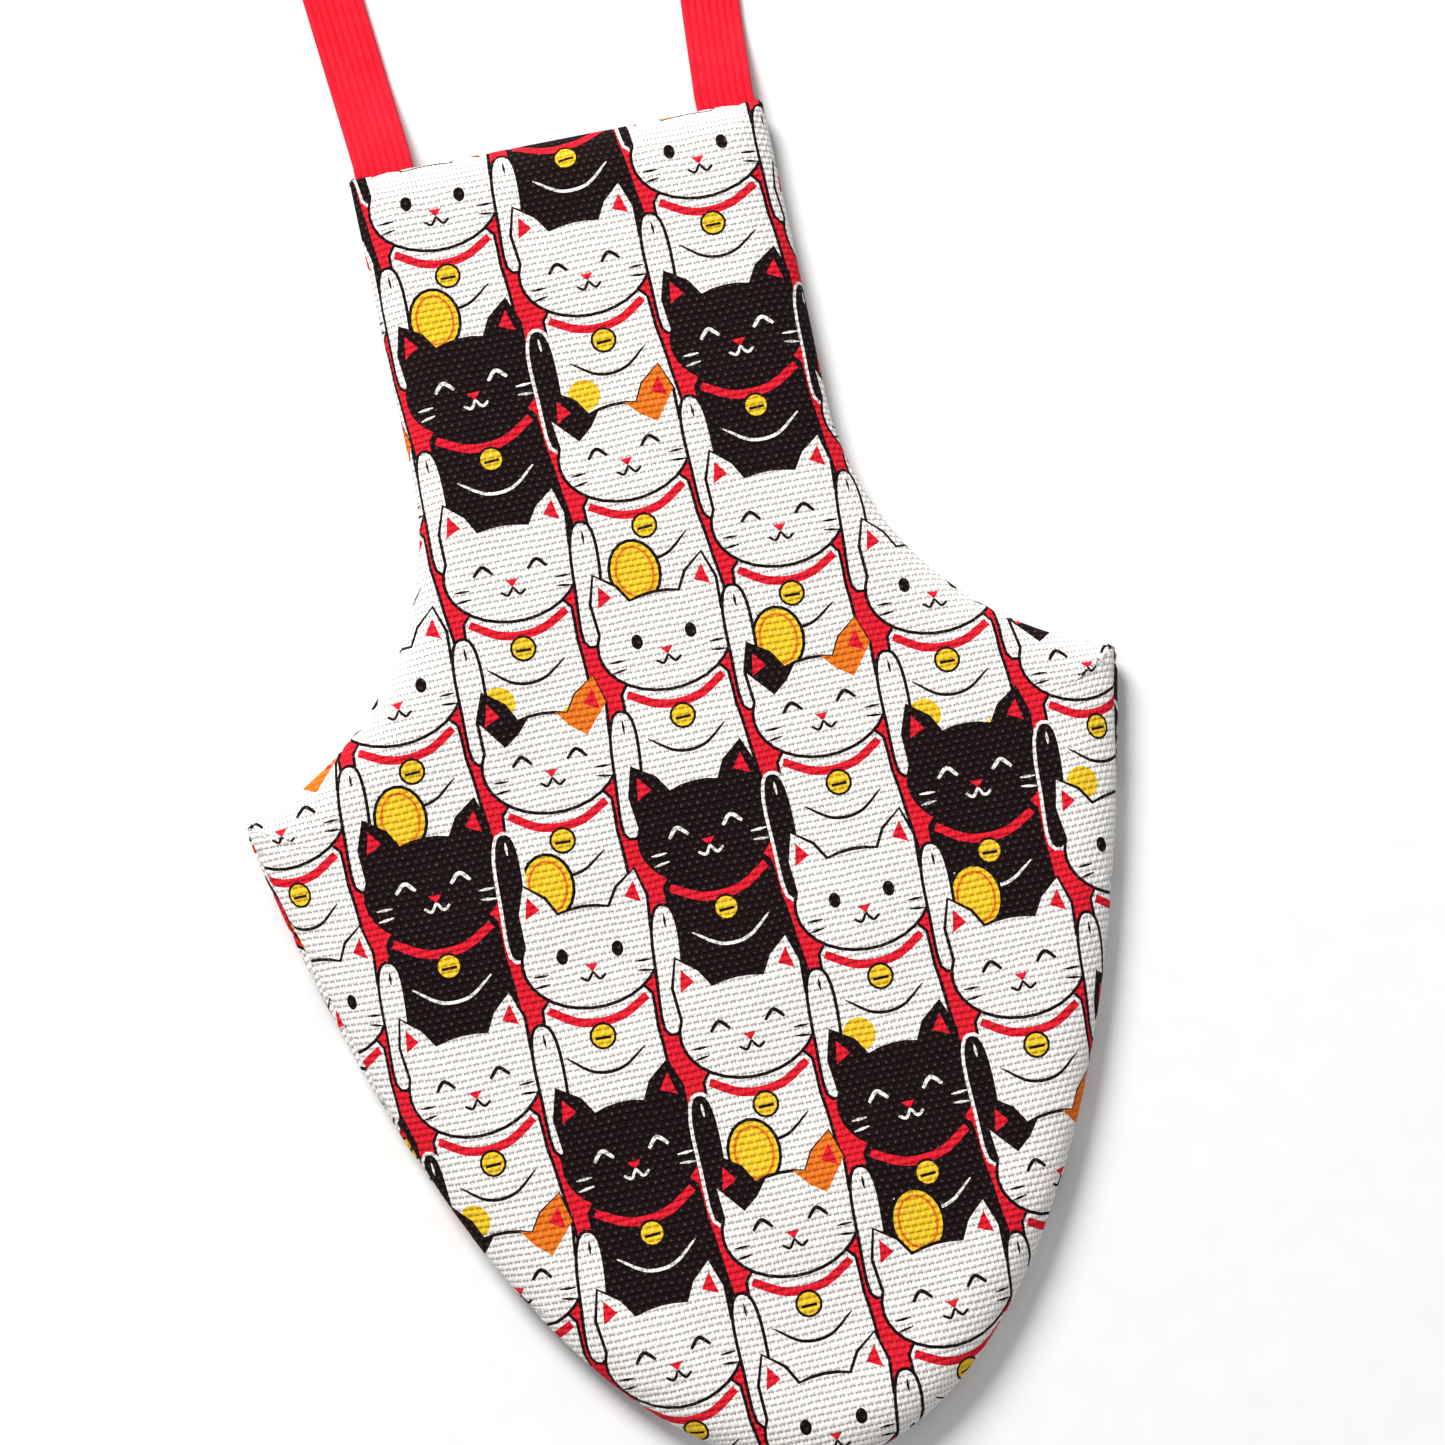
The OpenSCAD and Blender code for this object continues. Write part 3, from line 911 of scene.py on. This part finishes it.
def strap():
    """The whole elastic in one piece, from one sewn-in end to the other."""
    section = strap_section()
    start = -(TAIL_LEN + HINGE_OUT)
    lengths = list(np.arange(start, HALF_LOOP, STRAP_STEP)) + [HALF_LOOP]
    stations = [(s, 1) for s in lengths] + [(s, -1) for s in reversed(lengths[:-1])]
    verts, uvs = [], []
    total = 0.0
    last = None
    for s, flip in stations:
        middle, wide, thick = strap_frame(s)
        mirror = np.array([flip, 1, 1])
        total += 0 if last is None else np.linalg.norm(middle * mirror - last)
        last = middle * mirror
        for x, y in section:
            p = middle + wide * x * ELASTIC_W / 2 + thick * y * ELASTIC_T / 2
            verts.append(p * mirror * MM)
            uvs.append((x * ELASTIC_W / 2 * UV_SCALE, total * UV_SCALE))
    n = len(section)
    faces = [[(r + 1) * n + i, (r + 1) * n + (i + 1) % n, r * n + (i + 1) % n, r * n + i]
             for r in range(len(stations) - 1) for i in range(n)]
    faces.append(list(range(n)))
    faces.append(list(range(len(verts) - 1, len(verts) - 1 - n, -1)))
    mesh = bpy.data.meshes.new("elastic_strap")
    mesh.from_pydata([tuple(v) for v in verts], [], faces)
    layer = mesh.uv_layers.new(name="tape")
    for loop in mesh.loops:
        layer.data[loop.index].uv = uvs[loop.vertex_index]
    mesh.polygons.foreach_set("use_smooth", [True] * len(mesh.polygons))
    mesh.update()
    bm = bmesh.new()
    bm.from_mesh(mesh)
    bmesh.ops.recalc_face_normals(bm, faces=bm.faces)
    bm.to_mesh(mesh)
    bm.free()
    return link("elastic_strap", mesh)


def elastic_material():
    """Ribbed knitted elastic, with rows of small slanting stitches on each rib, and painted shade in the
    grooves between the ribs and between the rows of stitches.
    """
    n = Nodes("ribbed_elastic")
    x, y = n.uv("tape")
    rib = n.math("FRACT", n.math("MULTIPLY", n.math("ADD", x, ELASTIC_W / 2), RIBS / ELASTIC_W))
    middle = n.math("ABSOLUTE", n.math("SUBTRACT", rib, 0.5))       # 0 on the rib, 0.5 in the groove
    lean = n.math("MULTIPLY", middle, 0.5)
    knit = n.math("ABSOLUTE", n.math("SINE", n.math("MULTIPLY", n.math("ADD", y, lean), math.pi / 0.32)))
    fuzz = n.noise(n.join(x, n.math("MULTIPLY", y, 0.6)), 6.0, 3.0, 0.6)
    groove_shade = n.ramp(middle, 0.30, 0.5)
    light = n.ramp(n.noise(n.join(x, y), 0.35, 2.0), 0.3, 0.7)
    color = n.mix(light, (0.90, 0.008, 0.024), (0.96, 0.014, 0.038))
    # painted shade: darker in the grooves between the ribs, and between the rows of stitches
    color = n.mix(n.math("MULTIPLY", groove_shade, 0.75), color, (0.50, 0.003, 0.012))
    color = n.mix(n.math("MULTIPLY", n.math("SUBTRACT", 1.0, knit), 0.25), color, (0.60, 0.004, 0.016))
    height = n.math("ADD", n.math("MULTIPLY", knit, 0.6), n.math("MULTIPLY", fuzz, 0.4))
    n.bump(height, 0.00006, 0.8)
    return n.finish(color, 0.75)


# ---------------------------------------------------------------- wadding and threads
PAD_ROOM = 0.8              # room between the wadding and the canvas, where it is thick
PAD_INSET = 1.8             # and at the seam
PAD_INSET_REACH = 6
PAD_FLUFF = 0.05            # unevenness of its surface


def wadding(cushion, settled):
    """The soft layer inside, a canvas thickness or so within the settled cloth."""
    mesh = bpy.data.meshes.new("wadding_pad")
    place = settled.copy()
    rise = place[:, 2] - SEAM_Z
    place[:, 2] = SEAM_Z + np.sign(rise) * rise ** 2 / (np.abs(rise) + PAD_ROOM)
    s, away = to_outline(place[:, :2], full_outline())
    inner = PAD_INSET * (1 - smooth_step(s / PAD_INSET_REACH))
    place[:, :2] += away * inner[:, None]
    rng = np.random.default_rng(7)
    place[:, 2] += rng.uniform(-PAD_FLUFF, PAD_FLUFF, len(place))
    mesh.from_pydata((place * MM).tolist(), [], cushion.faces)
    mesh.polygons.foreach_set("use_smooth", [True] * len(mesh.polygons))
    mesh.update()
    n = Nodes("fibre")
    where = n.tree.nodes.new("ShaderNodeTexCoord").outputs["Object"]
    fibres = n.noise(where, 900.0, 4.0, 0.7)
    tone = n.ramp(fibres, 0.3, 0.7, 0.80, 0.92)
    n.bump(fibres, 0.0003, 1.0)
    mesh.materials.append(n.finish(n.join(tone, tone, tone), 0.95, 0.4))
    return link("wadding_pad", mesh)


def thread_material():
    n = Nodes("sewing_thread")
    where = n.tree.nodes.new("ShaderNodeTexCoord").outputs["Object"]
    strands = n.noise(where, 5000.0, 3.0, 0.6)
    tone = n.ramp(strands, 0.3, 0.7, 0.72, 0.86)
    n.bump(strands, 0.00005, 0.8)
    return n.finish(n.join(tone, tone, n.math("MULTIPLY", tone, 0.97)), 0.6, 0.2)


# ---------------------------------------------------------------- assembly
set_camera()
set_light()
stage()
inks = [canvas(*ink) for ink in INKS]
drapes = [Drape(1, 11), Drape(-1, 23)]
cushion = Cushion(drapes)
settled = cushion.simulate()
for drape, (flat, tris, ids, placed) in zip(drapes, cushion.parts):
    drape.settled = Field(flat, tris, settled[ids] - placed)
front = panel("front_canvas", drapes[0], draw_print(3, (0, 2)), inks)
back = panel("back_canvas", drapes[1], draw_print(5, (6, -5)), inks)
pad = wadding(cushion, settled)
elastic = strap()
elastic.data.materials.append(elastic_material())
for piece, node, drape in ((front, "front_panel", drapes[0]), (back, "back_panel", drapes[1])):
    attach(piece, "bib")
    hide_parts(node)
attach(pad, "bib")
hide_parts("wadding")
thread = thread_material()
for node in ("perimeter_seam", "closing_stitch", "left_tack", "right_tack"):
    frame["nodes"][node].data.materials.clear()
    frame["nodes"][node].data.materials.append(thread)
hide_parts("neck_elastic", "left_tail", "right_tail")
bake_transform(elastic)
